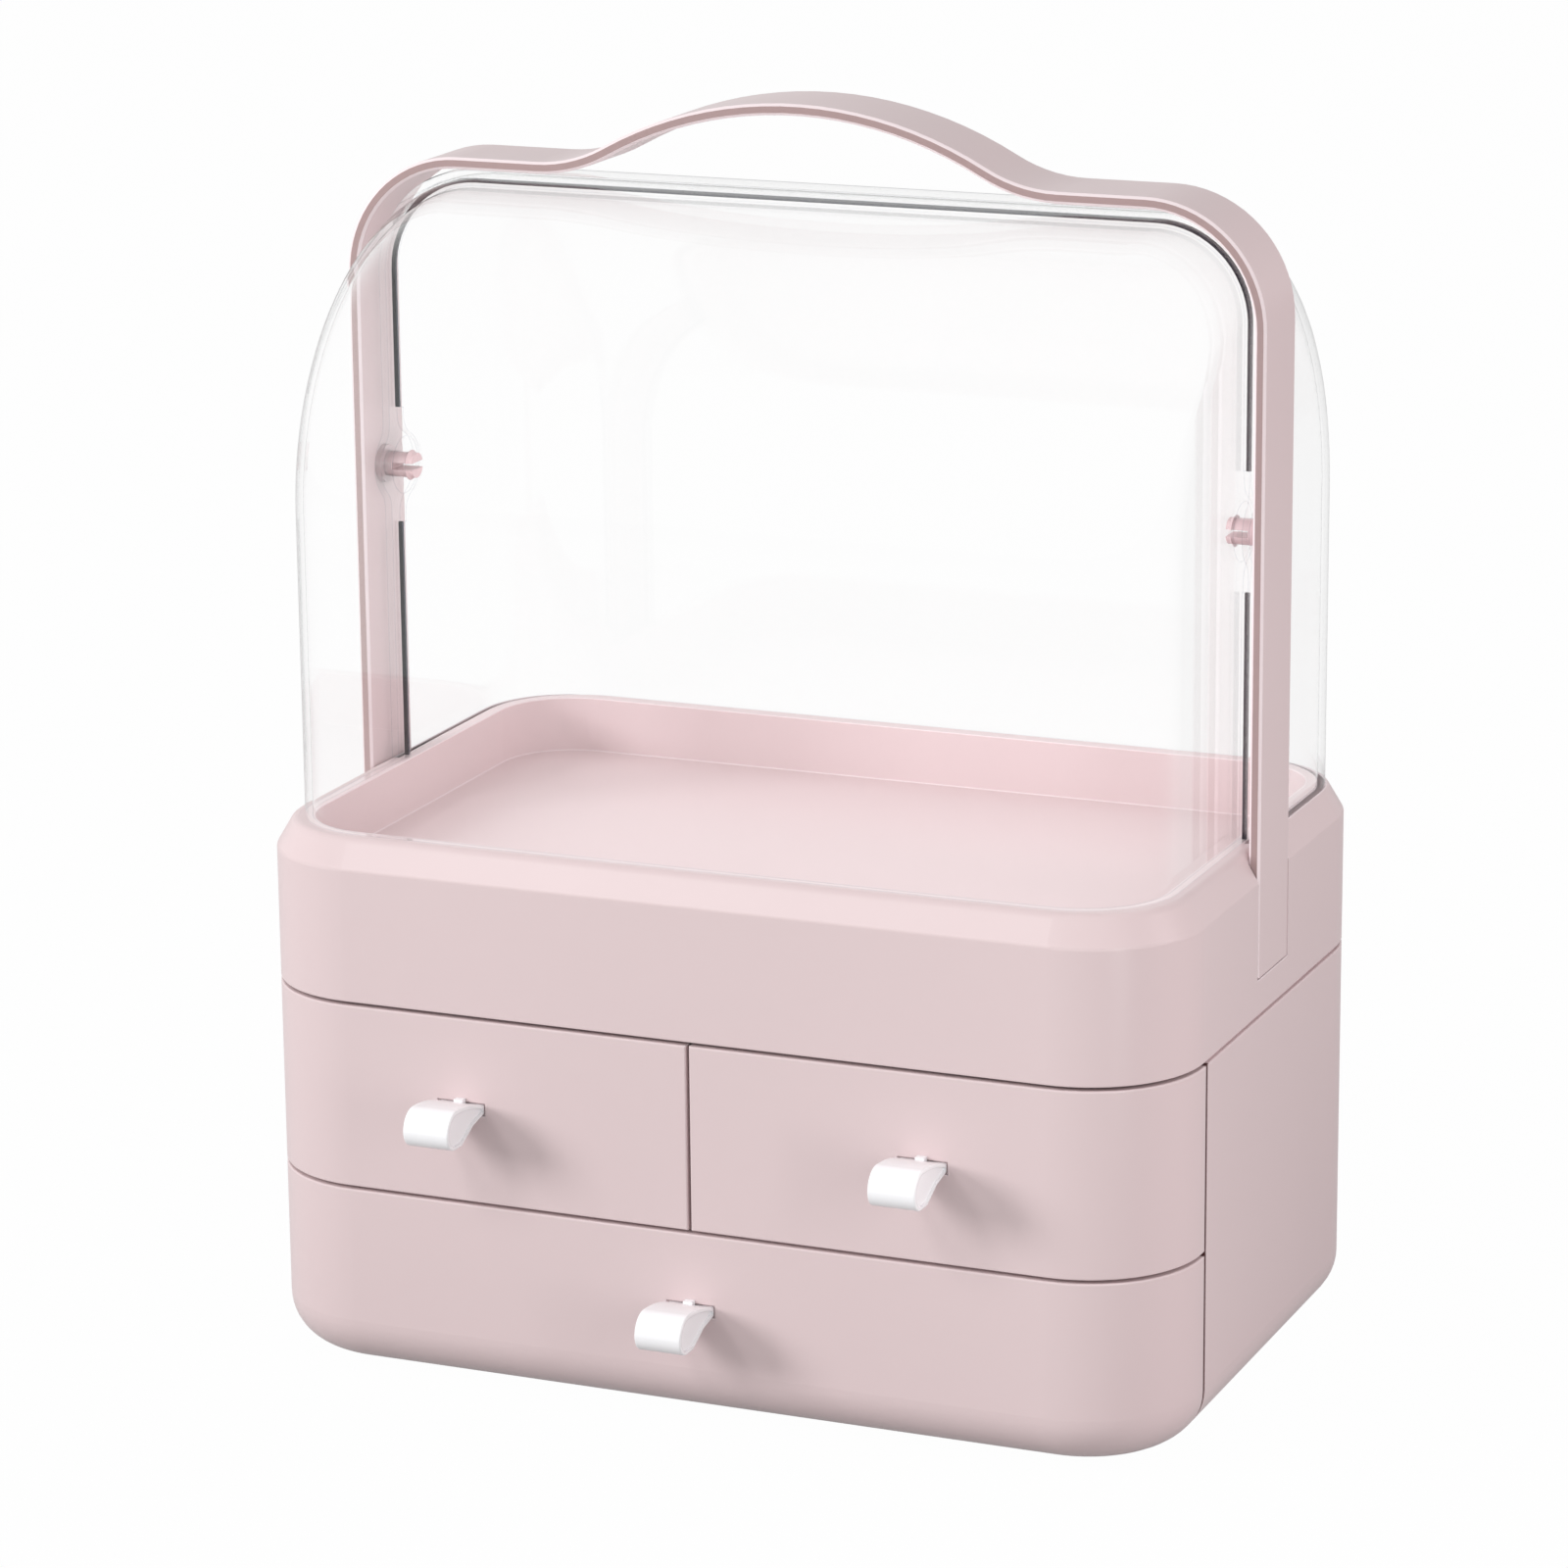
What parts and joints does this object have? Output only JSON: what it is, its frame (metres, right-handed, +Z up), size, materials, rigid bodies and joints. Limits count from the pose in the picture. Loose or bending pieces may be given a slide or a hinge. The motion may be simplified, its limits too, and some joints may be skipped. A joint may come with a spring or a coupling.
{
  "type": "makeup storage case",
  "caption": "Pink tabletop makeup storage case with wrap-round drawers, an open tray under a hinged clear cover, and an arched carrying handle.",
  "frame": {"origin": "on the surface the case stands on, under the middle of its whole outline, which is half a pull's reach in front of the middle of the case", "axes": "+X to the right as seen from the front, +Y to the back, +Z up"},
  "size_m": [0.3, 0.225, 0.3898],
  "materials": {
    "pink_plastic": "moulded, satin gloss",
    "pink_tub": "moulded, satin",
    "handle_pink": "moulded, gloss",
    "pin_pink": "moulded, gloss",
    "clear_cover": "clear, polished",
    "dark_seal": "soft dark strip",
    "white_pull": "moulded, gloss",
    "foot_rubber": "matt rubber",
    "screw_steel": "zinc plated"
  },
  "bodies": {
    "case": {"cabinet_shell": "pink_plastic", "base_plate": "pink_plastic", "drawer_shelf": "pink_plastic", "centre_divider": "pink_plastic", "rubber_feet": "foot_rubber", "base_screws": "screw_steel", "top_tray": "pink_plastic", "tray_screws": "screw_steel", "handle": "handle_pink", "handle_screws": "screw_steel", "cover_pin_left": "pin_pink", "cover_pin_right": "pin_pink", "rear_cover": "clear_cover"},
    "visor": {"front_cover": "clear_cover", "front_cover_seal": "dark_seal"},
    "lower_drawer": {"lower_drawer_front": "pink_plastic", "lower_drawer_tub": "pink_tub", "lower_drawer_pull": "white_pull", "lower_pull_screw": "screw_steel"},
    "right_drawer": {"right_drawer_front": "pink_plastic", "right_drawer_tub": "pink_tub", "right_drawer_pull": "white_pull", "right_pull_screw": "screw_steel"},
    "left_drawer": {"left_drawer_front": "pink_plastic", "left_drawer_tub": "pink_tub", "left_drawer_pull": "white_pull", "left_pull_screw": "screw_steel"}
  },
  "joints": [
    {"name": "lower_drawer_slide", "type": "slide", "parent": "case", "child": "lower_drawer", "axis": [0, -1, 0], "range_m": [0, 0.12]},
    {"name": "right_drawer_slide", "type": "slide", "parent": "case", "child": "right_drawer", "axis": [0, -1, 0], "range_m": [0, 0.12]},
    {"name": "left_drawer_slide", "type": "slide", "parent": "case", "child": "left_drawer", "axis": [0, -1, 0], "range_m": [0, 0.12]},
    {"name": "visor_hinge", "type": "hinge", "parent": "case", "child": "visor", "pos_m": [0, 0.0125, 0.267], "axis": [-1, 0, 0], "range_deg": [0, 90]}
  ]
}
